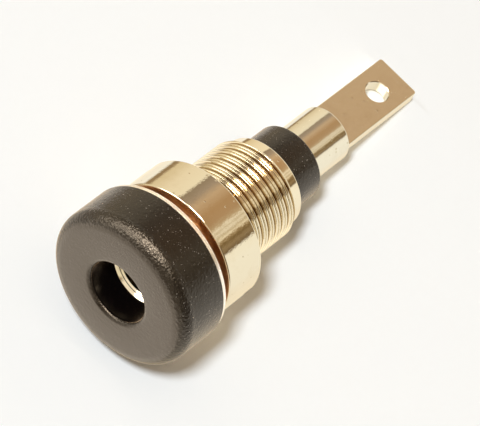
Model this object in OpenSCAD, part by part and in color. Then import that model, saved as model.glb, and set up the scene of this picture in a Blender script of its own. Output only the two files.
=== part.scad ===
// Insulated banana socket for panel mounting: a moulded head and tube carry a turned contact
// through a threaded metal sleeve, and a slotted round nut clamps the sleeve to a panel.
// The front of the head faces -Y, the tab points to +Y, and the origin lies on the axis
// at the rear face of the sleeve's flange, where the panel seats.

/* [Head] */
// Diameter of the head
head_d = 11.75; // [11:0.05:13]
// Length of the head in front of the flange
head_len = 4.05; // [3.4:0.05:5]
// Radius of the head's front rim
head_rim_r = 1.05; // [0.5:0.05:1.6]
// Diameter of the mouth that the plug enters
mouth_d = 4.65; // [4.62:0.01:4.9]
// Radius that rounds the edge of the mouth
mouth_rim_r = 0.35; // [0.1:0.05:0.6]

/* [Threaded sleeve] */
// Diameter of the flange under the head
flange_d = 11.55; // [10.8:0.05:13]
// Thickness of the flange
flange_t = 0.35; // [0.2:0.05:0.8]
// Outside diameter of the thread
thread_d = 7.6; // [7.4:0.05:8]
// Pitch of the thread
thread_pitch = 0.67; // [0.55:0.01:0.8]
// Depth of the thread's groove
thread_depth = 0.24; // [0.15:0.01:0.3]
// Length of the sleeve behind the flange
sleeve_len = 10.7; // [10:0.05:13]
// Diameter of the plain end behind the thread, at the thread's root
land_d = 6.85; // [6.5:0.05:7.1]
// Length of the plain end
land_len = 0.8; // [0.4:0.05:1.2]
// Bore of the sleeve
sleeve_bore_d = 5.7; // [5.6:0.02:5.9]

/* [Round nut] */
// Diameter of the nut
nut_d = 10.45; // [10:0.05:12]
// Length of the nut along the thread
nut_len = 3.3; // [2:0.05:4.5]
// Gap between the flange and the nut, where a panel goes
nut_gap = 1; // [0.4:0.05:2.5]
// Width of the two spanner slots in the nut's rear face
slot_w = 1.35; // [0.8:0.05:1.8]
// Depth of the spanner slots
slot_depth = 0.9; // [0.5:0.05:1.2]
// Angle of the spanner slots about the axis
slot_angle = 13; // [0:1:180]

/* [Contact] */
// Bore for the plug's pin
plug_bore_d = 4; // [3.9:0.02:4.1]
// Outside diameter of the contact's cup
cup_d = 5; // [4.96:0.01:5.1]
// Depth of the cup's edge behind the front of the head
contact_recess = 2.45; // [1.5:0.05:2.9]
// Length of the cup
cup_len = 11.7; // [9:0.1:12.2]
// Thickness of the cup's floor at its wall
floor_t = 0.7; // [0.5:0.05:1.5]
// Diameter of the post behind the cup
post_d = 4.2; // [3.9:0.05:4.4]
// Length of the post that shows behind the rear bush
post_len = 4; // [2:0.05:6]

/* [Solder tab] */
// Width of the tab
tab_w = 3.5; // [2.8:0.05:3.8]
// Thickness of the tab
tab_t = 1; // [0.6:0.05:1.4]
// Length of the tab behind the post
tab_len = 7.85; // [5:0.05:10]
// Size of the chamfers on the tab's end corners
tab_corner = 0.2; // [0.1:0.05:0.8]
// Diameter of the hole in the tab
tab_hole_d = 1.7; // [1:0.05:2]
// Distance from the hole's centre to the tab's end
tab_hole_edge = 2.45; // [1.6:0.05:3]

/* [Rear bush] */
// Length of the bush that shows behind the sleeve
collar_len = 2.8; // [1.5:0.05:4]

/* [Fits] */
// Radial gap between pieces that sit in one another
fit_gap = 0.02; // [0.01:0.005:0.04]
// Radial running gap between the nut and the thread
thread_gap = 0.03; // [0.02:0.01:0.06]

/* [Hidden] */
$fn = 96;

plastic_black = [0.16, 0.14, 0.13];
nickel = [0.80, 0.73, 0.60];
tinned = [0.74, 0.67, 0.55];

// Form of the thread: flat crests and flanks at this angle from the radius
crest_w = 0.22;
flank_angle = 30;

// Small breaks on turned and moulded edges
edge = 0.12;
nut_bore_edge = 0.2;
lead_rim = 0.18;
lead_step = 0.07;
lead_seat = 0.11;
drill_point = 59;

// Stations along the axis, counted rearward from the panel seat
head_front = -flange_t - head_len;
cup_front = head_front + contact_recess;
cup_rear = cup_front + cup_len;
thread_end = sleeve_len - land_len;
crest_end = thread_end - (thread_d - land_d) / 2;
turns = floor(crest_end / thread_pitch);
collar_end = sleeve_len + collar_len;
post_end = collar_end + post_len;
tab_end = post_end + tab_len;
plug_start = cup_front + lead_rim + lead_step + lead_seat;
plug_end = cup_rear - floor_t;

// Radii that follow from the fits
tube_r = sleeve_bore_d / 2 - fit_gap;
tube_bore_r = cup_d / 2 + fit_gap;
bush_bore_r = post_d / 2 + fit_gap;
nut_bore_r = thread_d / 2 + thread_gap;
plug_r = plug_bore_d / 2;
drill_tip = plug_r / tan(drill_point);

// Turns a profile drawn as radius against station about the Y axis
module turned() {
  rotate([-90, 0, 0])
    rotate_extrude()
      children();
}

// Rectangle of a profile between two radii and two stations
module band(r_in, r_out, from, to) {
  translate([r_in, from])
    square([r_out - r_in, to - from]);
}

// Head profile: rounded front rim and rounded mouth edge on true arcs
module head_profile() {
  mouth_r = mouth_d / 2;
  head_r = head_d / 2;
  band(mouth_r + mouth_rim_r, head_r - head_rim_r, head_front, -flange_t);
  band(mouth_r, head_r - head_rim_r, head_front + mouth_rim_r, cup_front);
  band(tube_bore_r, head_r - head_rim_r, cup_front - edge, -flange_t);
  band(head_r - head_rim_r - edge, head_r, head_front + head_rim_r, -flange_t);
  translate([mouth_r + mouth_rim_r, head_front + mouth_rim_r])
    circle(mouth_rim_r);
  translate([head_r - head_rim_r, head_front + head_rim_r])
    circle(head_rim_r);
}

module insulating_head() {
  color(plastic_black)
    turned()
      difference() {
        union() {
          head_profile();
          band(tube_bore_r, tube_r, -flange_t - edge, cup_rear);
        }
        band(0, tube_bore_r, cup_front, cup_rear + edge);
      }
}

// Sections of the thread's groove, one to a pitch: rings stand for its turns in the solid
module thread_grooves() {
  mouth = thread_pitch - crest_w;
  root = mouth - 2 * thread_depth * tan(flank_angle);
  for (turn = [0 : turns - 1])
    translate([thread_d / 2, (turn + 0.5) * thread_pitch])
      polygon([
        [-thread_depth, -root / 2],
        [0, -mouth / 2],
        [edge, -mouth / 2],
        [edge, mouth / 2],
        [0, mouth / 2],
        [-thread_depth, root / 2]
      ]);
}

module sleeve_profile() {
  flange_r = flange_d / 2;
  thread_r = thread_d / 2;
  land_r = land_d / 2;
  bore_r = sleeve_bore_d / 2;
  polygon([
    [bore_r, -flange_t],
    [flange_r - edge / 2, -flange_t],
    [flange_r, edge / 2 - flange_t],
    [flange_r, -edge / 2],
    [flange_r - edge / 2, 0],
    [thread_r, 0],
    [thread_r, crest_end],
    [land_r, thread_end],
    [land_r, sleeve_len - edge],
    [land_r - edge, sleeve_len],
    [bore_r, sleeve_len]
  ]);
}

module threaded_sleeve() {
  color(nickel)
    turned()
      difference() {
        sleeve_profile();
        thread_grooves();
      }
}

// Cutters for the two slots that a fork spanner turns the nut by
module spanner_slots(nut_rear) {
  rotate([0, slot_angle, 0])
    for (side = [-1, 1])
      translate([side * nut_d / 2, nut_rear, 0])
        cube([nut_d - 2 * nut_bore_r + 2 * nut_bore_edge, 2 * slot_depth, slot_w], center = true);
}

module round_nut() {
  nut_r = nut_d / 2;
  nut_rear = nut_gap + nut_len;
  color(nickel)
    difference() {
      turned()
        polygon([
          [nut_bore_r + nut_bore_edge, nut_gap],
          [nut_r - edge, nut_gap],
          [nut_r, nut_gap + edge],
          [nut_r, nut_rear - edge],
          [nut_r - edge, nut_rear],
          [nut_bore_r + nut_bore_edge, nut_rear],
          [nut_bore_r, nut_rear - nut_bore_edge],
          [nut_bore_r, nut_gap + nut_bore_edge]
        ]);
      spanner_slots(nut_rear);
    }
}

// Cup and post in one turning: two lead-in cones with a step between them, a drilled bore
// and a stepped outside
module contact_turning() {
  seat_r = plug_r + lead_seat;
  turned()
    polygon([
      [seat_r + lead_rim, cup_front],
      [cup_d / 2, cup_front],
      [cup_d / 2, cup_rear],
      [post_d / 2, cup_rear],
      [post_d / 2, post_end - edge],
      [post_d / 2 - edge, post_end],
      [0, post_end],
      [0, plug_end + drill_tip],
      [plug_r, plug_end],
      [plug_r, plug_start],
      [seat_r, plug_start - lead_seat],
      [seat_r, cup_front + lead_rim]
    ]);
}

// Flat tab milled from the post's end, with its corners clipped and its hole drilled
module solder_tab() {
  half = tab_w / 2;
  root = post_end - 2 * edge;
  difference() {
    translate([0, 0, -tab_t / 2])
      linear_extrude(tab_t)
        polygon([
          [-half, root],
          [half, root],
          [half, tab_end - tab_corner],
          [half - tab_corner, tab_end],
          [tab_corner - half, tab_end],
          [-half, tab_end - tab_corner]
        ]);
    translate([0, tab_end - tab_hole_edge, 0])
      cylinder(h = 2 * tab_t, d = tab_hole_d, center = true);
  }
}

module contact_socket() {
  color(tinned) {
    contact_turning();
    solder_tab();
  }
}

module rear_bush() {
  color(plastic_black)
    turned()
      polygon([
        [bush_bore_r, cup_rear],
        [tube_r, cup_rear],
        [tube_r, collar_end - edge],
        [tube_r - edge, collar_end],
        [bush_bore_r, collar_end]
      ]);
}

insulating_head();
threaded_sleeve();
round_nut();
contact_socket();
rear_bush();
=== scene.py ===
# %% [markdown]
# # A banana socket, dressed on its CAD frame
#
# The object is a small panel socket for a 4 mm plug. A black moulded head sits on
# a plated threaded sleeve, a round nut runs on the thread, and a turned contact
# goes right through and ends in a flat tab for solder. The CAD model is loaded as
# a fixed frame, and every piece is then modelled again with finer edges, a real
# thread and finished surfaces, in the same place and at the same size.

# %% Load the frame
import math

import bmesh
import bpy
from mathutils import Matrix, Vector


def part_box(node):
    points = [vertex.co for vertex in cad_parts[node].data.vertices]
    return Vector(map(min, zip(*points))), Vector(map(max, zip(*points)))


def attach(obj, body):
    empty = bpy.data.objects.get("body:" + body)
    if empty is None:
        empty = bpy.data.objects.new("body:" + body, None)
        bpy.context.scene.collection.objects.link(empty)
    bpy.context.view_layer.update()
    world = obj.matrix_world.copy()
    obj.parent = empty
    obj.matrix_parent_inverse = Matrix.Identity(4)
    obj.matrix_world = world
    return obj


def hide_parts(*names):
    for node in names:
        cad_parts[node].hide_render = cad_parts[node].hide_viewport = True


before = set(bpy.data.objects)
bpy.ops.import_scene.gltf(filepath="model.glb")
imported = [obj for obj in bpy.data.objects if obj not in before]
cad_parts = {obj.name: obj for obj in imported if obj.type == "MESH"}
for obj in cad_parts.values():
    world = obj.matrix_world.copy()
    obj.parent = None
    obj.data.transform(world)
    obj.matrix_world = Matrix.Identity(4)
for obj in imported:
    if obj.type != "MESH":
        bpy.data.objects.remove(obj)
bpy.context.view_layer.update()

scene = bpy.context.scene
MM = 0.001
print("nodes", sorted(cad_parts))

# %% [markdown]
# ## Camera first
#
# The photograph looks down on the socket from the front and a little from its right,
# and the camera is tilted so that the socket runs up to the right. A long lens from
# 270 mm away gives the faint perspective of the photograph. The camera is built from
# three directions, its right, its up and its back, because a tilt about the line of
# sight is then one plain step.

# %% Camera
AZIMUTH, ELEVATION, ROLL = math.radians(17.5), math.radians(52.04), math.radians(30.65)
AIM = Vector((0.867, 7.170, 0.374)) * MM
DISTANCE = 268.8 * MM
LENS, SENSOR_WIDTH = 300, 36
NEAR_LIMIT, FAR_LIMIT = 0.01, 10

back = Vector((
    math.sin(AZIMUTH) * math.cos(ELEVATION),
    -math.cos(AZIMUTH) * math.cos(ELEVATION),
    math.sin(ELEVATION),
))
level_right = Vector((math.cos(AZIMUTH), math.sin(AZIMUTH), 0))
level_up = back.cross(level_right)
right = math.cos(ROLL) * level_right + math.sin(ROLL) * level_up
up = back.cross(right)

camera = bpy.data.objects.new("camera", bpy.data.cameras.new("camera"))
scene.collection.objects.link(camera)
place = Matrix((right, up, back)).transposed().to_4x4()
place.translation = AIM + back * DISTANCE
camera.matrix_world = place
camera.data.lens = LENS
camera.data.sensor_width = SENSOR_WIDTH
camera.data.clip_start = NEAR_LIMIT
camera.data.clip_end = FAR_LIMIT
scene.camera = camera
print("camera at, in mm", [round(v / MM, 1) for v in camera.location])

# %% [markdown]
# ## Measures
#
# The frame gives the outside of every piece, so the main stations along the axis and
# the outer radii are read from its boxes. Bores and small breaks can't be read from a
# box, so they are repeated here from the CAD source, in millimetres.

# %% Stations and radii
def reach(node):
    """Outer radius, front station and rear station of a turned node, in mm."""
    low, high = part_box(node)
    return min(-low.x, high.x, -low.z, high.z) / MM, low.y / MM, high.y / MM


HEAD_R, HEAD_FRONT, CUP_REAR = reach("insulating_head")
FLANGE_R, FLANGE_FRONT, SLEEVE_REAR = reach("threaded_sleeve")
NUT_R, NUT_FRONT, NUT_REAR = reach("round_nut")
CUP_R, CUP_FRONT, TAB_END = reach("contact_socket")
COLLAR_R, BUSH_FRONT, COLLAR_REAR = reach("rear_bush")

HEAD_RIM, MOUTH_R, MOUTH_RIM = 1.05, 2.325, 0.35
SLEEVE_BORE_R, TUBE_BORE_R, BUSH_BORE_R = 2.85, 2.52, 2.12
THREAD_R, THREAD_ROOT_R, LAND_R, THREAD_END = 3.8, 3.56, 3.425, 9.9
NUT_BORE_R, NUT_BORE_EDGE = 3.83, 0.2
SLOT_W, SLOT_DEPTH, SLOT_ANGLE = 1.35, 0.9, math.radians(13)
PLUG_R, LEAD_SEAT, LEAD_STEP, LEAD_RIM = 2.0, 0.11, 0.07, 0.18
POST_R, POST_END = 2.1, 17.5
PLUG_FLOOR, DRILL_TIP = 9.05, 10.25
TAB_W, TAB_T, TAB_CORNER = 3.5, 1.0, 0.2
TAB_HOLE_R, TAB_HOLE_Y = 0.85, 22.9
stations = (HEAD_FRONT, NUT_FRONT, NUT_REAR, SLEEVE_REAR, COLLAR_REAR, TAB_END)
print("head", round(HEAD_R, 2), "flange", round(FLANGE_R, 2), "nut", round(NUT_R, 2))
print("stations", [round(v, 2) for v in stations])

# %% [markdown]
# ## The lathe
#
# Almost everything here came off a lathe or out of a round mould, so it is drawn as
# half a section and spun. One vertex is pulled out of a plane and extruded from corner
# to corner, then the corners are rounded with a vertex bevel, each by its own radius,
# and only then is the outline spun about the Y axis. Rounding the outline before the
# spin costs nothing and gives every edge the thin bright line of a real one.

# %% Helpers for drawing and spinning an outline
SPIN_STEPS = 144
WELD, SAME_SPOT = 1e-7, 1e-6
SMALL_ROUNDING, SMALL_STEPS, BROAD_STEPS = 0.2, 4, 10


def deselect_all():
    if bpy.context.object and bpy.context.object.mode != "OBJECT":
        bpy.ops.object.mode_set(mode="OBJECT")
    bpy.ops.object.select_all(action="DESELECT")


def only(obj):
    deselect_all()
    obj.select_set(True)
    bpy.context.view_layer.objects.active = obj


def select_points(obj, wanted):
    """In edit mode, select the vertices whose place passes the test, and nothing else."""
    bpy.ops.mesh.select_mode(type="VERT")
    bpy.ops.mesh.select_all(action="DESELECT")
    mesh = bmesh.from_edit_mesh(obj.data)
    for v in mesh.verts:
        if wanted(v.co):
            v.select_set(True)
    mesh.select_flush(True)
    bmesh.update_edit_mesh(obj.data)


def draw_outline(name, corners, closed=True):
    """A wire through corners of (radius, station, rounding) in mm.

    It stays open where it starts on the axis, because the spin closes it there.
    """
    deselect_all()
    bpy.ops.mesh.primitive_plane_add(size=MM, location=(0, 0, 0))
    obj = bpy.context.object
    obj.name = obj.data.name = name
    bpy.ops.object.mode_set(mode="EDIT")
    bpy.ops.mesh.select_mode(type="VERT")
    bpy.ops.mesh.select_all(action="SELECT")
    bpy.ops.mesh.merge(type="CENTER")
    pen = Vector((0, 0, 0))
    back_to_start = corners[:1] if closed and corners[0][0] > 0 else []
    for n, (radius, station, _) in enumerate(corners + back_to_start):
        goal = Vector((radius, station, 0)) * MM
        if n == 0:
            bpy.ops.transform.translate(value=goal)
        else:
            bpy.ops.mesh.extrude_vertices_move(TRANSFORM_OT_translate={"value": goal - pen})
        pen = goal
    bpy.ops.mesh.select_all(action="SELECT")
    bpy.ops.mesh.remove_doubles(threshold=WELD)
    for rounding in sorted({c[2] for c in corners if c[2] > 0}):
        spots = [Vector((c[0], c[1], 0)) * MM for c in corners if c[2] == rounding]
        select_points(obj, lambda co: any((co - s).length < SAME_SPOT for s in spots))
        steps = SMALL_STEPS if rounding < SMALL_ROUNDING else BROAD_STEPS
        bpy.ops.mesh.bevel(offset=rounding * MM, segments=steps, affect="VERTICES")
    return obj


def close_up():
    """In edit mode, weld what meets, point every face outwards and leave edit mode."""
    bpy.ops.mesh.select_all(action="SELECT")
    bpy.ops.mesh.remove_doubles(threshold=WELD)
    bpy.ops.mesh.normals_make_consistent(inside=False)
    bpy.ops.object.mode_set(mode="OBJECT")


def spin_outline(name, corners):
    obj = draw_outline(name, corners)
    bpy.ops.mesh.select_all(action="SELECT")
    bpy.ops.mesh.spin(
        steps=SPIN_STEPS, angle=2 * math.pi, center=(0, 0, 0), axis=(0, 1, 0), use_auto_merge=True
    )
    close_up()
    return obj


# %% Helpers for modifiers and measuring
SOFT_ANGLE, THREAD_SOFT_ANGLE = 32, 40
NORMAL_WEIGHT = 80


def apply_modifier(obj, kind, **settings):
    only(obj)
    modifier = obj.modifiers.new(kind.lower(), kind)
    for key, value in settings.items():
        setattr(modifier, key, value)
    bpy.ops.object.modifier_apply(modifier=modifier.name)


def combine(obj, tool, operation):
    """Boolean of obj with a tool that is used up."""
    apply_modifier(obj, "BOOLEAN", operation=operation, object=tool, solver="EXACT")
    bpy.data.objects.remove(tool, do_unlink=True)


def smooth(obj, angle=SOFT_ANGLE):
    only(obj)
    bpy.ops.object.shade_smooth_by_angle(angle=math.radians(angle))
    apply_modifier(obj, "WEIGHTED_NORMAL", keep_sharp=True, weight=NORMAL_WEIGHT)


def measure(obj):
    """Print the box in mm, the triangles and any edge that isn't shared by two faces."""
    mesh = bmesh.new()
    mesh.from_mesh(obj.data)
    open_edges = sum(1 for e in mesh.edges if len(e.link_faces) != 2)
    low = [round(min(v.co[k] for v in mesh.verts) / MM, 3) for k in range(3)]
    high = [round(max(v.co[k] for v in mesh.verts) / MM, 3) for k in range(3)]
    triangles = sum(len(f.verts) - 2 for f in mesh.faces)
    volume = round(mesh.calc_volume(signed=True) / MM**3, 1)
    mesh.free()
    print(obj.name, low, high, triangles, "triangles", open_edges, "open edges", volume, "mm3")


# %% [markdown]
# ## Insulating head
#
# The head is a moulding of black plastic with a broad soft rim and a small rounded edge
# at the mouth. Behind it a thin tube runs through the sleeve and keeps the contact
# away from the panel. Head and tube are one outline and one spin.

# %% Model the head
HEAD_REAR_EDGE = 0.05
head = spin_outline("head", [
    (MOUTH_R, HEAD_FRONT, MOUTH_RIM),
    (HEAD_R, HEAD_FRONT, HEAD_RIM),
    (HEAD_R, FLANGE_FRONT, HEAD_REAR_EDGE),
    (COLLAR_R, FLANGE_FRONT, 0),
    (COLLAR_R, CUP_REAR, 0),
    (TUBE_BORE_R, CUP_REAR, 0),
    (TUBE_BORE_R, CUP_FRONT, 0),
    (MOUTH_R, CUP_FRONT, 0),
])
smooth(head)
measure(head)

# %% [markdown]
# ## Rear bush
#
# A second small moulding closes the sleeve from behind. Only its collar shows. It is
# spun like the head, with a small round on the rear edges.

# %% Model the bush
COLLAR_EDGE, BUSH_BORE_EDGE = 0.14, 0.05
bush = spin_outline("bush", [
    (BUSH_BORE_R, BUSH_FRONT, 0),
    (COLLAR_R, BUSH_FRONT, 0),
    (COLLAR_R, COLLAR_REAR, COLLAR_EDGE),
    (BUSH_BORE_R, COLLAR_REAR, BUSH_BORE_EDGE),
])
smooth(bush)
measure(bush)

# %% [markdown]
# ## A wound thread
#
# A thread is one groove that winds along the axis. Rings would look wrong where the
# thread starts and ends, so a section is drawn once and swept with a Screw modifier,
# which turns it and moves it on by one pitch each turn. For the sleeve the section is a
# whole pitch, from root to root, with a seam along the crest as a rolled thread has:
# each turn joins the next, and the sweep is a threaded bar. For the nut it is a closed
# ridge that cuts a groove. The open ends of a sweep are filled before it meets any
# other solid.

# %% Helper that winds a section
PITCH = 0.67
THREAD_STEPS = 96


def wind(name, corners, turns, closed):
    section = draw_outline(name, corners, closed)
    bpy.ops.object.mode_set(mode="OBJECT")
    apply_modifier(
        section, "SCREW", axis="Y", angle=2 * math.pi, screw_offset=PITCH * MM, iterations=turns,
        steps=THREAD_STEPS, render_steps=THREAD_STEPS, use_merge_vertices=False,
    )
    bpy.ops.object.mode_set(mode="EDIT")
    bpy.ops.mesh.select_all(action="SELECT")
    bpy.ops.mesh.remove_doubles(threshold=WELD)
    bpy.ops.mesh.select_all(action="SELECT")
    bpy.ops.mesh.fill_holes(sides=0)
    close_up()
    return section


# %% [markdown]
# ## Threaded sleeve
#
# The sleeve is a plated tube with a thin flange at the front. Its thread runs out in a
# chamfer just before the rear, and a short plain land is left at the end. The bar is
# wound a little too long, trimmed by a spun envelope that has the chamfer, and joined
# to the spun tube, so that the sleeve is one closed solid.

# %% Model the tube and its flange
CORE_R = 3.45
FLANGE_EDGE, LAND_START_EDGE, LAND_END_EDGE, SLEEVE_BORE_EDGE = 0.06, 0.02, 0.12, 0.04
sleeve = spin_outline("sleeve", [
    (SLEEVE_BORE_R, FLANGE_FRONT, 0),
    (FLANGE_R, FLANGE_FRONT, FLANGE_EDGE),
    (FLANGE_R, 0, FLANGE_EDGE),
    (CORE_R, 0, 0),
    (CORE_R, THREAD_END - (CORE_R - LAND_R), 0),
    (LAND_R, THREAD_END, LAND_START_EDGE),
    (LAND_R, SLEEVE_REAR, LAND_END_EDGE),
    (SLEEVE_BORE_R, SLEEVE_REAR, SLEEVE_BORE_EDGE),
])
measure(sleeve)

# %% Wind the threaded bar
THREAD_START, TURNS = -1.5, 19
ROOT_END, CREST_EDGE, SEAM_EDGE, SEAM_R = 0.29, 0.205, 0.055, 3.61
ROOT_ROUND, LIP_ROUND, SEAM_ROUND = 0.03, 0.025, 0.01
half_section = [
    (THREAD_ROOT_R, PITCH / 2, 0),
    (THREAD_ROOT_R, ROOT_END, ROOT_ROUND),
    (THREAD_R, CREST_EDGE, LIP_ROUND),
    (THREAD_R, SEAM_EDGE, LIP_ROUND),
]
front_half = [(radius, THREAD_START - off, rounding) for radius, off, rounding in half_section]
seam = [(SEAM_R, THREAD_START, SEAM_ROUND)]
rear_half = [(radius, THREAD_START + off, rounding) for radius, off, rounding in reversed(half_section)]
bar = wind("bar", front_half + seam + rear_half, TURNS, closed=False)
measure(bar)

# %% Trim the bar and join it to the tube
TRIM_R, TRIM_BORE_R, RUN_OUT_R = 4.0, CORE_R - 0.15, CORE_R - 0.01
run_out = THREAD_END - (RUN_OUT_R - LAND_R)
trim = spin_outline("trim", [
    (TRIM_BORE_R, FLANGE_FRONT / 2, 0),
    (TRIM_R, FLANGE_FRONT / 2, 0),
    (TRIM_R, THREAD_END - (TRIM_R - LAND_R), 0),
    (RUN_OUT_R, run_out, 0),
    (TRIM_BORE_R, run_out, 0),
])
combine(bar, trim, "INTERSECT")
combine(sleeve, bar, "UNION")
smooth(sleeve, THREAD_SOFT_ANGLE)
measure(sleeve)

# %% [markdown]
# ## Round nut
#
# The nut is a plain polished ring that draws the flange against the panel. It has a
# thread in its bore and two slots across its rear face for a fork spanner. The slots
# are milled here as they are in metal: one cutter is pushed through the ring on each
# side.

# %% Model the ring and its thread
NUT_EDGE, NUT_BORE_ROUND = 0.12, 0.03
nut = spin_outline("nut", [
    (NUT_BORE_R, NUT_FRONT + NUT_BORE_EDGE, 0),
    (NUT_BORE_R + NUT_BORE_EDGE, NUT_FRONT, NUT_BORE_ROUND),
    (NUT_R, NUT_FRONT, NUT_EDGE),
    (NUT_R, NUT_REAR, NUT_EDGE),
    (NUT_BORE_R + NUT_BORE_EDGE, NUT_REAR, NUT_BORE_ROUND),
    (NUT_BORE_R, NUT_REAR - NUT_BORE_EDGE, 0),
])
GROOVE_START, GROOVE_TURNS = NUT_FRONT - 1.0, 8
GROOVE_LOW_R, GROOVE_HIGH_R = NUT_BORE_R - 0.06, NUT_BORE_R + 0.24
GROOVE_MOUTH, GROOVE_ROOT, GROOVE_ROUND = 0.26, 0.08, 0.02
groove = wind("groove", [
    (GROOVE_LOW_R, GROOVE_START - GROOVE_MOUTH, 0),
    (GROOVE_HIGH_R, GROOVE_START - GROOVE_ROOT, GROOVE_ROUND),
    (GROOVE_HIGH_R, GROOVE_START + GROOVE_ROOT, GROOVE_ROUND),
    (GROOVE_LOW_R, GROOVE_START + GROOVE_MOUTH, 0),
], GROOVE_TURNS, closed=True)
combine(nut, groove, "DIFFERENCE")
measure(nut)

# %% Mill the slots
CUTTER_LENGTH = 3
for side in (-1, 1):
    deselect_all()
    bpy.ops.mesh.primitive_cube_add(size=1, location=(side * NUT_R * MM, NUT_REAR * MM, 0))
    cutter = bpy.context.object
    bpy.ops.transform.resize(value=(CUTTER_LENGTH * MM, 2 * SLOT_DEPTH * MM, SLOT_W * MM))
    bpy.ops.object.transform_apply(location=True, rotation=True, scale=True)
    cutter.rotation_euler = (0, SLOT_ANGLE, 0)
    bpy.ops.object.transform_apply(location=False, rotation=True, scale=False)
    combine(nut, cutter, "DIFFERENCE")
smooth(nut, THREAD_SOFT_ANGLE)
measure(nut)

# %% [markdown]
# ## Contact
#
# The contact is the hardest piece: a drilled cup with a two-stage lead-in for the plug,
# a stepped post behind it, and a flat tab milled from the post's end, all in one bar of
# metal. The cup and post are spun. The tab starts as a cube: its two end corners are
# bevelled, then every edge is broken, the hole is drilled with a cutter that leaves a
# small countersink on both faces, and the tab is joined to the post.

# %% Model the cup and post
SEAT_R = PLUG_R + LEAD_SEAT
LEAD_EDGE, POST_EDGE = 0.02, 0.12
contact = spin_outline("contact", [
    (0, DRILL_TIP, 0),
    (PLUG_R, PLUG_FLOOR, 0),
    (PLUG_R, CUP_FRONT + LEAD_RIM + LEAD_STEP + LEAD_SEAT, 0),
    (SEAT_R, CUP_FRONT + LEAD_RIM + LEAD_STEP, 0),
    (SEAT_R, CUP_FRONT + LEAD_RIM, 0),
    (SEAT_R + LEAD_RIM, CUP_FRONT, LEAD_EDGE),
    (CUP_R, CUP_FRONT, LEAD_EDGE),
    (CUP_R, CUP_REAR, 0),
    (POST_R, CUP_REAR, 0),
    (POST_R, POST_END, POST_EDGE),
    (0, POST_END, 0),
])
measure(contact)

# %% Model the tab
TAB_ROOT = POST_END - 0.3
TAB_MIDDLE = (TAB_ROOT + TAB_END) / 2
TAB_EDGE, CORNER_STEPS, EDGE_STEPS, EDGE_ANGLE = 0.07, 4, 3, math.radians(40)
deselect_all()
bpy.ops.mesh.primitive_cube_add(size=1, location=(0, TAB_MIDDLE * MM, 0))
tab = bpy.context.object
tab.name = "tab"
bpy.ops.transform.resize(value=(TAB_W * MM, (TAB_END - TAB_ROOT) * MM, TAB_T * MM))
bpy.ops.object.transform_apply(location=True, rotation=True, scale=True)
bpy.ops.object.mode_set(mode="EDIT")
select_points(tab, lambda co: co.y > TAB_MIDDLE * MM)
bpy.ops.mesh.select_mode(type="EDGE")
tab_mesh = bmesh.from_edit_mesh(tab.data)
for edge in tab_mesh.edges:
    upright = abs(edge.verts[0].co.z - edge.verts[1].co.z) > 0.5 * TAB_T * MM
    edge.select_set(edge.select and upright)
bmesh.update_edit_mesh(tab.data)
bpy.ops.mesh.bevel(offset=TAB_CORNER * MM, segments=CORNER_STEPS, affect="EDGES")
bpy.ops.object.mode_set(mode="OBJECT")
apply_modifier(
    tab, "BEVEL", width=TAB_EDGE * MM, segments=EDGE_STEPS, limit_method="ANGLE", angle_limit=EDGE_ANGLE
)
measure(tab)

# %% Drill the tab and join it to the post
DRILL_REACH, DRILL_FLARE, COUNTERSINK, OVERLAP = 1.1, 0.7, 0.05, 0.01
drill = spin_outline("drill", [
    (0, -DRILL_REACH, 0),
    (TAB_HOLE_R + DRILL_FLARE, -DRILL_REACH, 0),
    (TAB_HOLE_R + COUNTERSINK, -TAB_T / 2 - OVERLAP, 0),
    (TAB_HOLE_R, -TAB_T / 2 + COUNTERSINK, 0),
    (TAB_HOLE_R, TAB_T / 2 - COUNTERSINK, 0),
    (TAB_HOLE_R + COUNTERSINK, TAB_T / 2 + OVERLAP, 0),
    (TAB_HOLE_R + DRILL_FLARE, DRILL_REACH, 0),
    (0, DRILL_REACH, 0),
])
drill.rotation_euler = (math.radians(90), 0, 0)
drill.location = (0, TAB_HOLE_Y * MM, 0)
only(drill)
bpy.ops.object.transform_apply(location=True, rotation=True, scale=True)
combine(tab, drill, "DIFFERENCE")
combine(contact, tab, "UNION")
smooth(contact)
measure(contact)

# %% [markdown]
# ## Surface effects that several finishes share
#
# Two effects come back in more than one finish, so each is a node group. The spark
# grain is the fine pebbled skin that a spark-eroded mould leaves on plastic, with a few
# pale specks and broad clouds. The turning marks are what a lathe and wear leave on
# metal: fine rings that follow the station along the axis and the distance from it,
# grit under the plating, clouds of tarnish, scratches and small nicks. Both groups read
# a place that the material hands in.

# %% Helpers for nodes
def feed(tree, socket, value):
    """Link a socket to another node's output, or set a plain value on it."""
    if isinstance(value, bpy.types.NodeSocket):
        tree.links.new(value, socket)
    else:
        socket.default_value = value


def add_node(tree, kind, settings=None, **inputs):
    """A node whose inputs are named, with _ for a space, or numbered as i0, i1 and so on."""
    node = tree.nodes.new(kind)
    for key, value in (settings or {}).items():
        setattr(node, key, value)
    for key, value in inputs.items():
        numbered = key[0] == "i" and key[1:].isdigit()
        feed(tree, node.inputs[int(key[1:]) if numbered else key.replace("_", " ")], value)
    return node


def calc(tree, operation, first, second=0.0):
    return add_node(tree, "ShaderNodeMath", {"operation": operation}, i0=first, i1=second).outputs[0]


def spread(tree, value, low, high, to_low=0.0, to_high=1.0):
    """A soft step of a value, from to_low at low to to_high at high."""
    node = add_node(
        tree, "ShaderNodeMapRange", {"interpolation_type": "SMOOTHSTEP"},
        i0=value, i1=low, i2=high, i3=to_low, i4=to_high,
    )
    return node.outputs[0]


def noise(tree, place, scale, detail, roughness):
    node = add_node(
        tree, "ShaderNodeTexNoise", Vector=place, Scale=scale, Detail=detail, Roughness=roughness
    )
    return node.outputs["Fac"]


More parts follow.
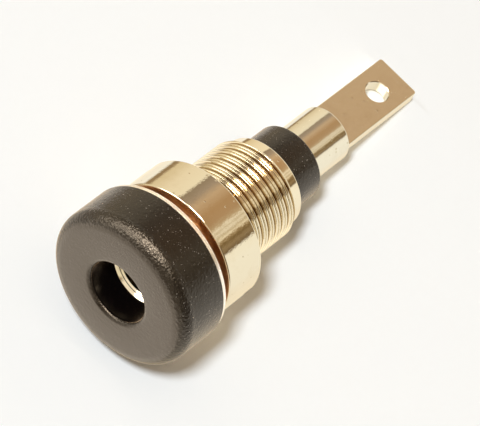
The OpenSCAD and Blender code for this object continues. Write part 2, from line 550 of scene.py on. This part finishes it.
def axis_place(tree, where):
    """Station along the axis and distance from it, as two values."""
    parts = add_node(tree, "ShaderNodeSeparateXYZ", Vector=where).outputs
    across = calc(tree, "MULTIPLY", parts[0], parts[0])
    upward = calc(tree, "MULTIPLY", parts[2], parts[2])
    return parts[1], calc(tree, "SQRT", calc(tree, "ADD", across, upward))


def new_group(name, inputs, outputs):
    group = bpy.data.node_groups.new(name, "ShaderNodeTree")
    for socket, kind in inputs:
        group.interface.new_socket(name=socket, in_out="INPUT", socket_type=kind)
    for socket in outputs:
        group.interface.new_socket(name=socket, in_out="OUTPUT", socket_type="NodeSocketFloat")
    return group, group.nodes.new("NodeGroupInput"), group.nodes.new("NodeGroupOutput")


# %% Spark grain group
CLOUD_SCALE = 420.0
SPECK_LIMIT, SPECK_BLUR, SPECK_FINENESS = 0.8, 0.05, 1.6
grain, grain_in, grain_out = new_group(
    "spark_grain",
    [("Place", "NodeSocketVector"), ("Pebble scale", "NodeSocketFloat"), ("Speck share", "NodeSocketFloat")],
    ["Height", "Specks", "Cloud"],
)
spot, pebble_scale = grain_in.outputs["Place"], grain_in.outputs["Pebble scale"]
pebbles = noise(grain, spot, pebble_scale, 3.0, 0.6)
pits = add_node(
    grain, "ShaderNodeTexVoronoi", {"feature": "SMOOTH_F1"}, Vector=spot, Scale=pebble_scale, Smoothness=0.6
).outputs["Distance"]
height = calc(grain, "ADD", calc(grain, "MULTIPLY", pebbles, 0.7), calc(grain, "MULTIPLY", pits, 0.4))
fine = noise(grain, spot, calc(grain, "MULTIPLY", pebble_scale, SPECK_FINENESS), 1.0, 0.5)
threshold = calc(grain, "SUBTRACT", SPECK_LIMIT, grain_in.outputs["Speck share"])
specks = spread(grain, fine, threshold, calc(grain, "ADD", threshold, SPECK_BLUR))
cloud = noise(grain, spot, CLOUD_SCALE, 3.0, 0.6)
for socket, value in (("Height", height), ("Specks", specks), ("Cloud", cloud)):
    grain.links.new(value, grain_out.inputs[socket])
print("group", grain.name, "with", len(grain.nodes), "nodes")

# %% Turning marks group
TARNISH_SCALE, NICK_SCALE = 650.0, 1700.0
SCRATCH_STRETCH, SCRATCH_SLANT = (6000.0, 500.0, 6000.0), (0.0, 0.0, 0.5)
NICK_CORE, NICK_EDGE, NICK_SHARE, NICK_DEPTH = 0.04, 0.15, 0.5, 1.6
marks, marks_in, marks_out = new_group(
    "turning_marks",
    [("Place", "NodeSocketVector"), ("Ring scale", "NodeSocketFloat"), ("Grit scale", "NodeSocketFloat"),
     ("Turned to", "NodeSocketFloat")],
    ["Height", "Nicks", "Grit", "Tarnish", "Scratches"],
)
spot = marks_in.outputs["Place"]
station, from_axis = axis_place(marks, spot)
along = calc(marks, "MULTIPLY", calc(marks, "ADD", station, from_axis), marks_in.outputs["Ring scale"])
rings = add_node(
    marks, "ShaderNodeTexNoise", {"noise_dimensions": "1D"}, W=along, Scale=1.0, Detail=2.0, Roughness=0.6
).outputs["Fac"]
rings = calc(marks, "MULTIPLY", rings, calc(marks, "LESS_THAN", station, marks_in.outputs["Turned to"]))
grit = noise(marks, spot, marks_in.outputs["Grit scale"], 2.0, 0.6)
tarnish = noise(marks, spot, TARNISH_SCALE, 4.0, 0.65)
swept = add_node(marks, "ShaderNodeMapping", Vector=spot, Scale=SCRATCH_STRETCH, Rotation=SCRATCH_SLANT)
scratches = spread(marks, noise(marks, swept.outputs[0], 1.0, 1.0, 0.4), 0.7, 0.78)
cells = add_node(marks, "ShaderNodeTexVoronoi", Vector=spot, Scale=NICK_SCALE).outputs
draw = add_node(marks, "ShaderNodeSeparateXYZ", Vector=cells["Color"]).outputs[0]
chosen = calc(marks, "GREATER_THAN", draw, NICK_SHARE)
nicks = calc(marks, "MULTIPLY", spread(marks, cells["Distance"], NICK_CORE, NICK_EDGE, 1.0, 0.0), chosen)
height = calc(marks, "ADD", calc(marks, "MULTIPLY", rings, 0.15), calc(marks, "MULTIPLY", grit, 0.85))
height = calc(marks, "SUBTRACT", height, calc(marks, "MULTIPLY", nicks, NICK_DEPTH))
for socket, value in (
    ("Height", height), ("Nicks", nicks), ("Grit", grit), ("Tarnish", tarnish), ("Scratches", scratches)
):
    marks.links.new(value, marks_out.inputs[socket])
print("group", marks.name, "with", len(marks.nodes), "nodes")

# %% [markdown]
# ## Finishes
#
# Black moulding: nearly black with a warm cast, calm on the flat front, pebbled on the
# rim and the side, with pale specks in its colour that are fewer on the flat front, and
# polished inside the mouth, where its colour is painted darker as shade. Plated metal: a
# warm pale mirror with fine rings, grit, nicks and clouds of tarnish, with the nicks painted
# darker as shade. Some places have a colour of their own, laid over the plating as patches:
# the flange is painted pale as a highlight, copper-brown painted shade lies in the gap in
# front of the nut, and brown painted shade lies in the thread's grooves. The contact has
# been tinned, so it is rougher and scatters what it mirrors.

# %% Helpers for materials
def tone(colour, factor=1.0):
    """A colour with its alpha, made darker or paler by a factor."""
    return tuple(v * factor for v in colour) + (1.0,)


def blend_colour(tree, factor, first, second):
    node = add_node(tree, "ShaderNodeMix", {"data_type": "RGBA"}, i0=factor, i6=first, i7=second)
    return node.outputs[2]


def start_material(name):
    material = bpy.data.materials.new(name)
    material.use_nodes = True
    tree = material.node_tree
    shader = tree.nodes["Principled BSDF"]
    where = tree.nodes.new("ShaderNodeTexCoord").outputs["Object"]
    return material, tree, shader, where


def use_group(tree, group, **inputs):
    return add_node(tree, "ShaderNodeGroup", {"node_tree": group}, **inputs).outputs


def bump(tree, shader, height, distance):
    node = add_node(tree, "ShaderNodeBump", Height=height, Distance=distance)
    tree.links.new(node.outputs[0], shader.inputs["Normal"])


# %% Black mouldings
PEBBLE_SCALE, SPECK_SHARE = 5600.0, 0.09
# The colour inside the mouth is painted shade, darker than the same plastic outside.
SPECK_COLOUR, MOUTH_PAINTED_SHADE = (0.42, 0.38, 0.33, 1.0), (0.003, 0.002, 0.002, 1.0)
SHEEN_TINT, MIRROR_TINT = (1.0, 0.70, 0.44, 1.0), (1.0, 0.86, 0.70, 1.0)
SHEEN, SHEEN_ROUGHNESS = 0.4, 0.3
POLISHED_ROUGHNESS, POLISHED_LEVEL, ADDED_LEVEL, POLISHED_RELIEF = 0.16, 0.18, 0.3, 0.05
POLISH_AND_SHADE_BLEND, SPECK_SPREAD = 0.02, 0.3
FRONT_SPECKS, SIDE_SPECKS = 0.12, 0.7
RIM_START, RIM_FULL, SIDE_START, SIDE_FULL = -0.08, 0.05, 0.7, 1.2
FRONT_RELIEF, RIM_RELIEF, SIDE_SHARE = 0.35, 1.15, 0.5


def black_moulding(name, shade, dull, depth, polish_and_shade_r, plain_to):
    """Grained plastic that is polished, and painted darker as shade, inside one radius and calm in front of
    one station.
    """
    material, tree, shader, where = start_material(name)
    skin = use_group(tree, grain, Place=where, Pebble_scale=PEBBLE_SCALE, Speck_share=SPECK_SHARE)
    station, from_axis = axis_place(tree, where)
    outside = spread(tree, from_axis, polish_and_shade_r * MM, (polish_and_shade_r + POLISH_AND_SHADE_BLEND) * MM)
    colour = blend_colour(tree, skin["Cloud"], tone(shade, 0.8), tone(shade, 1.25))
    # Pale specks in the colour, few on the flat front and more from the rim back.
    speck_amount = spread(tree, station, plain_to * MM, (plain_to + SPECK_SPREAD) * MM, FRONT_SPECKS, SIDE_SPECKS)
    speckled = calc(tree, "MULTIPLY", calc(tree, "MULTIPLY", skin["Specks"], outside), speck_amount)
    colour = blend_colour(tree, speckled, colour, SPECK_COLOUR)
    # Inside that radius the colour is painted shade: the bore is painted darker than the plastic outside.
    colour = blend_colour(tree, outside, MOUTH_PAINTED_SHADE, colour)
    tree.links.new(colour, shader.inputs["Base Color"])
    rough = calc(tree, "MULTIPLY", outside, dull - POLISHED_ROUGHNESS)
    rough = calc(tree, "ADD", rough, POLISHED_ROUGHNESS)
    uneven = calc(tree, "MULTIPLY", calc(tree, "SUBTRACT", skin["Height"], 0.5), 0.12)
    tree.links.new(calc(tree, "ADD", rough, uneven), shader.inputs["Roughness"])
    level = calc(tree, "ADD", calc(tree, "MULTIPLY", outside, ADDED_LEVEL), POLISHED_LEVEL)
    tree.links.new(level, shader.inputs["Specular IOR Level"])
    shader.inputs["Sheen Weight"].default_value = SHEEN
    shader.inputs["Sheen Roughness"].default_value = SHEEN_ROUGHNESS
    shader.inputs["Sheen Tint"].default_value = SHEEN_TINT
    shader.inputs["Specular Tint"].default_value = MIRROR_TINT
    rim_start, rim_full = (plain_to + RIM_START) * MM, (plain_to + RIM_FULL) * MM
    side_start, side_full = (plain_to + SIDE_START) * MM, (plain_to + SIDE_FULL) * MM
    relief = spread(tree, station, rim_start, rim_full, FRONT_RELIEF, RIM_RELIEF)
    settled = spread(tree, station, side_start, side_full, 1.0, SIDE_SHARE)
    relief = calc(tree, "MULTIPLY", relief, settled)
    relief = calc(tree, "MULTIPLY", relief, calc(tree, "ADD", outside, POLISHED_RELIEF))
    bump(tree, shader, calc(tree, "MULTIPLY", skin["Height"], relief), depth * MM)
    return material


BLACK = (0.009, 0.007, 0.005)
head_black = black_moulding("head_black", BLACK, 0.22, 0.065, 2.33, HEAD_FRONT + 0.1)
bush_black = black_moulding("bush_black", BLACK, 0.25, 0.04, 2.2, BUSH_FRONT)
print("made", head_black.name, bush_black.name)

# %% Plated metals
# The pale flange colour is a painted highlight.
PAINTED_HIGHLIGHT_PALE = (0.90, 0.83, 0.74, 1.0)
# Painted shade: the first colour darkens the gap between flange and nut, the second darkens the thread's
# grooves and the nicks.
GAP_PAINTED_SHADE_COPPER, PAINTED_SHADE_BROWN = (0.60, 0.42, 0.27, 1.0), (0.38, 0.26, 0.12, 1.0)
RING_SCALE, GRIT_SCALE = 9000.0, 3400.0
STAIN_FROM, STAIN_FULL, STAIN_SHARE, NICK_SHADE = 0.45, 0.8, 0.45, 0.5
GRIT_ROUGHNESS, SCRATCH_ROUGHNESS = 0.05, 0.12


def plated(name, tint, stain, gloss, grit_depth, turned_to, patches=()):
    """Plating with patches over it.

    A patch is (front station, rear station, full radius, clear radius, colour, dullness).
    """
    material, tree, shader, where = start_material(name)
    skin = use_group(
        tree, marks, Place=where, Ring_scale=RING_SCALE, Grit_scale=GRIT_SCALE, Turned_to=turned_to * MM
    )
    stained = spread(tree, skin["Tarnish"], STAIN_FROM, STAIN_FULL, 0.0, STAIN_SHARE)
    colour = blend_colour(tree, stained, tone(tint), tone(stain))
    # Nicks are painted darker with the brown of the painted shade, as shade in their pits.
    colour = blend_colour(tree, calc(tree, "MULTIPLY", skin["Nicks"], NICK_SHADE), colour, PAINTED_SHADE_BROWN)
    station, from_axis = axis_place(tree, where)
    rough = calc(tree, "ADD", gloss, calc(tree, "MULTIPLY", skin["Grit"], GRIT_ROUGHNESS))
    rough = calc(tree, "ADD", rough, calc(tree, "MULTIPLY", skin["Scratches"], SCRATCH_ROUGHNESS))
    for front, rear, full, clear, patch, dullness in patches:
        after = calc(tree, "GREATER_THAN", station, front * MM)
        before = calc(tree, "LESS_THAN", station, rear * MM)
        near = spread(tree, from_axis, full * MM, clear * MM, 1.0, 0.0)
        here = calc(tree, "MULTIPLY", calc(tree, "MULTIPLY", after, before), near)
        colour = blend_colour(tree, here, colour, patch)
        rough = calc(tree, "ADD", rough, calc(tree, "MULTIPLY", here, dullness))
    tree.links.new(colour, shader.inputs["Base Color"])
    shader.inputs["Metallic"].default_value = 1.0
    tree.links.new(rough, shader.inputs["Roughness"])
    bump(tree, shader, skin["Height"], grit_depth * MM)
    return material


# The flange patch is a painted highlight that makes the flange pale.
flange_highlight_patch = (FLANGE_FRONT - 0.05, -0.03, FLANGE_R + 0.1, FLANGE_R + 0.2, PAINTED_HIGHLIGHT_PALE, 0.3)
# The gap patch is copper-brown painted shade on the flange's rear and the thread in front of the nut.
gap_shade_patch = (-0.03, NUT_FRONT, 5.3, 5.6, GAP_PAINTED_SHADE_COPPER, 0.25)
# The groove patch is brown painted shade in the roots of the thread.
groove_shade_patch = (NUT_FRONT, THREAD_END - 0.35, 3.61, 3.76, PAINTED_SHADE_BROWN, 0.0)
# The nut's front face, which looks into the gap, takes the same copper-brown painted shade.
nut_face_shade_patch = (NUT_FRONT - 0.1, NUT_FRONT + 0.008, NUT_R, NUT_R + 0.1, GAP_PAINTED_SHADE_COPPER, 0.25)
sleeve_nickel = plated(
    "sleeve_nickel", (0.71, 0.63, 0.47), (0.58, 0.47, 0.31), 0.02, 0.004, SLEEVE_REAR,
    (flange_highlight_patch, gap_shade_patch, groove_shade_patch),
)
nut_nickel = plated(
    "nut_nickel", (0.68, 0.61, 0.465), (0.60, 0.51, 0.36), 0.02, 0.008, NUT_REAR, (nut_face_shade_patch,)
)
contact_nickel = plated("contact_nickel", (0.68, 0.63, 0.51), (0.59, 0.52, 0.40), 0.09, 0.005, POST_END)
print("made", sleeve_nickel.name, nut_nickel.name, contact_nickel.name)

# %% [markdown]
# ## Dress the frame
#
# Each piece takes its finish, rides on the body that carries it, and stands for one CAD
# node. The nut has a body of its own because it slides along the thread.

# %% Finish, ride and replace
for piece, finish, body, node, slot in (
    (head, head_black, "socket", "insulating_head", "black_moulding"),
    (sleeve, sleeve_nickel, "socket", "threaded_sleeve", "nickel_sleeve"),
    (nut, nut_nickel, "nut", "round_nut", "nickel_nut"),
    (contact, contact_nickel, "socket", "contact_socket", "nickel_contact"),
    (bush, bush_black, "socket", "rear_bush", "black_bush"),
):
    piece.data.materials.clear()
    piece.data.materials.append(finish)
    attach(piece, body)
    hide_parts(node)
    print(piece.name, "stands for", node)

# %% [markdown]
# ## Floor
#
# The socket lies on a white sheet. It rests on the nut's rear rim and on the end of the
# tab, so the sheet rises towards the tab in the part's own frame. The floor is a disc on
# that slope, cut off just behind the tab so that the nut can come off past it, and a
# second disc, the table, lies a little lower and shows behind the cut. Mirror rays pass
# through both to the surroundings, which carry the sheet's own tone, and their
# undersides are clear, so that the part can be looked at from below.

# %% Lay the floor and the table
SHEET_R, SHEET_SIDES = 0.16, 96
NUT_TOUCH, TAB_TOUCH = 0.06, 0.02
SHEET_GAP, SHEET_SPARE, TABLE_DROP = 0.02, 0.15, 6.0
rest_front = Vector((0, NUT_REAR - NUT_TOUCH, -NUT_R)) * MM
rest_rear = Vector((0, TAB_END - TAB_TOUCH, -TAB_T / 2)) * MM
slope = math.atan2(rest_rear.z - rest_front.z, rest_rear.y - rest_front.y)
sheet_up = Vector((0, -math.sin(slope), math.cos(slope)))
sheet_run = Vector((0, math.cos(slope), math.sin(slope)))
sheet_end = (rest_rear - rest_front).length + SHEET_SPARE * MM
deselect_all()
bpy.ops.mesh.primitive_circle_add(
    vertices=SHEET_SIDES, radius=SHEET_R, fill_type="NGON",
    location=rest_front - sheet_up * SHEET_GAP * MM, rotation=(slope, 0, 0),
)
floor = bpy.context.object
floor.name = "floor"
bpy.ops.object.duplicate()
table = bpy.context.object
table.name = "table"
table.location = floor.location - sheet_up * TABLE_DROP * MM
only(floor)
bpy.ops.object.mode_set(mode="EDIT")
bpy.ops.mesh.select_all(action="SELECT")
bpy.ops.mesh.bisect(
    plane_co=floor.location + sheet_run * sheet_end, plane_no=sheet_run, clear_outer=True
)
bpy.ops.object.mode_set(mode="OBJECT")
print("floor slope in degrees", round(math.degrees(slope), 2))
print("sheet ends in mm", round(sheet_end / MM, 2))

# %% Paper for both
SHEET, FIBRE_SHADE, FIBRE_SCALE = (0.93, 0.95, 0.96), 0.99, 900.0
PAPER_ROUGHNESS = 0.9
paper, tree, shader, where = start_material("paper")
shader.inputs["Roughness"].default_value = PAPER_ROUGHNESS
shader.inputs["Specular IOR Level"].default_value = 0.0
fibre = noise(tree, where, FIBRE_SCALE, 4.0, 0.6)
white = blend_colour(tree, fibre, tone(SHEET, FIBRE_SHADE), tone(SHEET))
tree.links.new(white, shader.inputs["Base Color"])
clear = tree.nodes.new("ShaderNodeBsdfTransparent").outputs[0]
underside = tree.nodes.new("ShaderNodeNewGeometry").outputs["Backfacing"]
rays = tree.nodes.new("ShaderNodeLightPath").outputs
see_through = calc(tree, "MAXIMUM", rays["Is Glossy Ray"], underside)
choice = add_node(tree, "ShaderNodeMixShader", i0=see_through, i1=shader.outputs[0], i2=clear)
tree.links.new(choice.outputs[0], tree.nodes["Material Output"].inputs["Surface"])
for sheet_piece in (floor, table):
    sheet_piece.data.materials.append(paper)
print("stage", floor.name, table.name, "in", paper.name)

# %% [markdown]
# ## Surroundings
#
# Polished metal shows the room more than itself. On a cylinder, the mirrored room is
# squeezed into stripes that run along it, so most of the room is described by the angle
# round the socket's axis only: the white sheet below, a pale wall, a dim brown room
# behind the camera and thin dark edges between them. Faces square to the axis mirror
# other directions, so soft round patches are laid over the stripes: the room ahead of
# the mouth, the near sheet that the flat front mirrors, the wall behind, a dark side, a
# window and a ceiling lamp. Only mirror rays meet that room. Dull surfaces get an even
# dome of soft light, and the camera sees a plain white ground.

# %% Tones of the room, by angle in degrees
ROOM = (
    (-180, (0.86, 0.75, 0.57)),
    (-155, (0.92, 0.84, 0.70)),
    (-138, (0.97, 0.93, 0.85)),
    (-129, (1.00, 0.985, 0.92)),
    (-124, (0.33, 0.23, 0.13)),
    (-117, (0.33, 0.23, 0.13)),
    (-112, (0.76, 0.64, 0.43)),
    (-84, (0.91, 0.81, 0.63)),
    (-58, (0.95, 0.87, 0.70)),
    (-55, (0.32, 0.25, 0.18)),
    (-42, (0.40, 0.32, 0.25)),
    (-30, (0.60, 0.44, 0.29)),
    (-12, (0.47, 0.30, 0.16)),
    (4, (0.47, 0.31, 0.175)),
    (12, (0.54, 0.41, 0.26)),
    (17, (0.90, 0.82, 0.68)),
    (20, (0.62, 0.52, 0.37)),
    (23, (0.92, 0.84, 0.70)),
    (27, (0.58, 0.48, 0.33)),
    (31, (0.90, 0.80, 0.62)),
    (34, (0.40, 0.29, 0.16)),
    (39, (0.20, 0.13, 0.055)),
    (45, (0.32, 0.23, 0.13)),
    (52, (0.20, 0.14, 0.08)),
    (56, (1.00, 0.97, 0.88)),
    (75, (1.00, 0.985, 0.92)),
    (110, (0.97, 0.945, 0.87)),
    (140, (0.92, 0.84, 0.69)),
    (160, (0.82, 0.72, 0.53)),
    (180, (0.80, 0.69, 0.49)),
)
AHEAD = (
    (-90, (1.00, 0.93, 0.80)),
    (-14, (1.00, 0.93, 0.80)),
    (-8, (0.20, 0.10, 0.035)),
    (9, (0.20, 0.10, 0.035)),
    (12, (0.95, 0.85, 0.65)),
    (18, (0.95, 0.85, 0.65)),
    (21, (0.22, 0.12, 0.045)),
    (27, (0.22, 0.12, 0.045)),
    (32, (0.90, 0.80, 0.60)),
    (90, (0.90, 0.80, 0.60)),
)
ROOM_STRENGTH = 1.3
SHEET_AHEAD = (1.15, 1.06, 0.92, 1.0)
SHEET_NEAR = (2.02, 1.84, 1.6, 1.0)
WALL_BEHIND = (1.0, 0.96, 0.86, 1.0)
LAMP_GLOW = (26.0, 24.6, 22.4, 1.0)
WINDOW_GLOW = (7.0, 6.7, 6.2, 1.0)
PALE_AHEAD = (1.0, 0.9, 0.75, 1.0)
DIM_SIDE = (0.13, 0.09, 0.06, 1.0)
CEILING_LAMP, WINDOW, DARK_SIDE = (-0.12, -0.25, 0.96), (-0.66, -0.58, 0.47), (0.94, -0.2, 0.25)
FRONT_MIRROR = (-back.x, back.y, -back.z)
GROUND = (0.966, 0.948, 0.909, 1.0)
DOME, DOME_STRENGTH = (1.0, 0.80, 0.58, 1.0), 0.42
print("surroundings with", len(ROOM), "stripes round the axis and", len(AHEAD), "ahead")

# %% Stripes round the axis and uprights ahead
world = bpy.data.worlds.new("surroundings")
world.use_nodes = True
scene.world = world
tree = world.node_tree
tree.nodes.clear()
towards = tree.nodes.new("ShaderNodeTexCoord").outputs["Generated"]


def ramp_of(stops, share):
    """A colour ramp whose stops are angles, spread evenly from the first to the last."""
    node = add_node(tree, "ShaderNodeValToRGB", Fac=share)
    ramp = node.color_ramp
    first, last = stops[0][0], stops[-1][0]
    ramp.elements[0].position, ramp.elements[0].color = 0.0, tone(stops[0][1])
    ramp.elements[1].position, ramp.elements[1].color = 1.0, tone(stops[-1][1])
    for degrees, colour in stops[1:-1]:
        ramp.elements.new((degrees - first) / (last - first)).color = tone(colour)
    return node.outputs["Color"]


facing = math.atan2(back.x, back.z)
turned = add_node(
    tree, "ShaderNodeVectorRotate", {"rotation_type": "Y_AXIS"}, Vector=towards, Angle=-facing
).outputs[0]
parts = add_node(tree, "ShaderNodeSeparateXYZ", Vector=turned).outputs
angle = calc(tree, "ARCTAN2", parts[0], parts[2])
stripes = ramp_of(ROOM, calc(tree, "ADD", calc(tree, "DIVIDE", angle, 2 * math.pi), 0.5))
straight = add_node(tree, "ShaderNodeSeparateXYZ", Vector=towards).outputs
aside = calc(tree, "ARCTAN2", straight[0], calc(tree, "MULTIPLY", straight[1], -1.0))
uprights = ramp_of(AHEAD, calc(tree, "ADD", calc(tree, "DIVIDE", aside, math.pi), 0.5))
print("stripes turned by, in degrees", round(math.degrees(facing), 2))

# %% Lay the soft patches over the stripes
def towards_share(direction, low, high):
    """How far the ray leans to a direction, 0 at a cosine of low and 1 at high."""
    cosine = add_node(
        tree, "ShaderNodeVectorMath", {"operation": "DOT_PRODUCT"}, i0=towards, i1=direction
    ).outputs["Value"]
    return spread(tree, cosine, low, high)


def cone(direction, outer, inner):
    """A soft round patch of the surroundings, with its half angles in degrees."""
    low, high = math.cos(math.radians(outer)), math.cos(math.radians(inner))
    return towards_share(Vector(direction).normalized(), low, high)


ahead = blend_colour(tree, towards_share(sheet_up, -0.06, 0.03), SHEET_AHEAD, uprights)
ahead = blend_colour(tree, towards_share(sheet_up, 0.45, 0.65), ahead, PALE_AHEAD)
mirrored = stripes
for direction, outer, inner, colour in (
    ((0, -1, 0), 66, 45, ahead),
    (FRONT_MIRROR, 36, 20, SHEET_NEAR),
    ((0, 1, 0), 44, 32, WALL_BEHIND),
    (DARK_SIDE, 40, 20, DIM_SIDE),
    (WINDOW, 24, 12, WINDOW_GLOW),
    (CEILING_LAMP, 18, 10, LAMP_GLOW),
):
    mirrored = blend_colour(tree, cone(direction, outer, inner), mirrored, colour)
room_light = add_node(tree, "ShaderNodeBackground", Color=mirrored, Strength=ROOM_STRENGTH).outputs[0]
plain = add_node(tree, "ShaderNodeBackground", Color=GROUND, Strength=1.0).outputs[0]
dome = add_node(tree, "ShaderNodeBackground", Color=DOME, Strength=DOME_STRENGTH).outputs[0]
rays = tree.nodes.new("ShaderNodeLightPath").outputs
lit = add_node(tree, "ShaderNodeMixShader", i0=rays["Is Glossy Ray"], i1=dome, i2=room_light).outputs[0]
seen = add_node(tree, "ShaderNodeMixShader", i0=rays["Is Camera Ray"], i1=lit, i2=plain).outputs[0]
tree.links.new(seen, tree.nodes.new("ShaderNodeOutputWorld").inputs["Surface"])
world.cycles.sampling_method = "NONE"
print("world", world.name, "with", len(tree.nodes), "nodes")

# %% [markdown]
# ## Lamp
#
# One soft lamp stands near the line of sight, a little above it and to its left, so that
# a short soft shadow shows along the lower right of the socket. Mirror rays don't see
# it, because the surroundings have a window and a ceiling lamp of their own.

# %% Place the lamp
LAMP_DISTANCE, LAMP_SIZE, LAMP_ENERGY = 0.8, 0.14, 4.9
LAMP_COLOUR = (0.879, 0.942, 1.0)
LAMP_LEFT, LAMP_ABOVE = 0.1, 0.21
lamp_data = bpy.data.lights.new("soft_lamp", "AREA")
lamp_data.shape = "DISK"
lamp_data.size = LAMP_SIZE
lamp_data.energy = LAMP_ENERGY
lamp_data.color = LAMP_COLOUR
lamp = bpy.data.objects.new("soft_lamp", lamp_data)
scene.collection.objects.link(lamp)
to_lamp = (back - LAMP_LEFT * right + LAMP_ABOVE * up).normalized()
lamp.location = AIM + to_lamp * LAMP_DISTANCE
lamp.rotation_euler = to_lamp.to_track_quat("Z", "Y").to_euler()
lamp.visible_glossy = False
print("lamp at, in mm", [round(v / MM) for v in lamp.location])

# %% [markdown]
# ## View transform
#
# The picture is shown with the Standard view transform.

# %% Set the view transform
scene.view_settings.view_transform = "Standard"
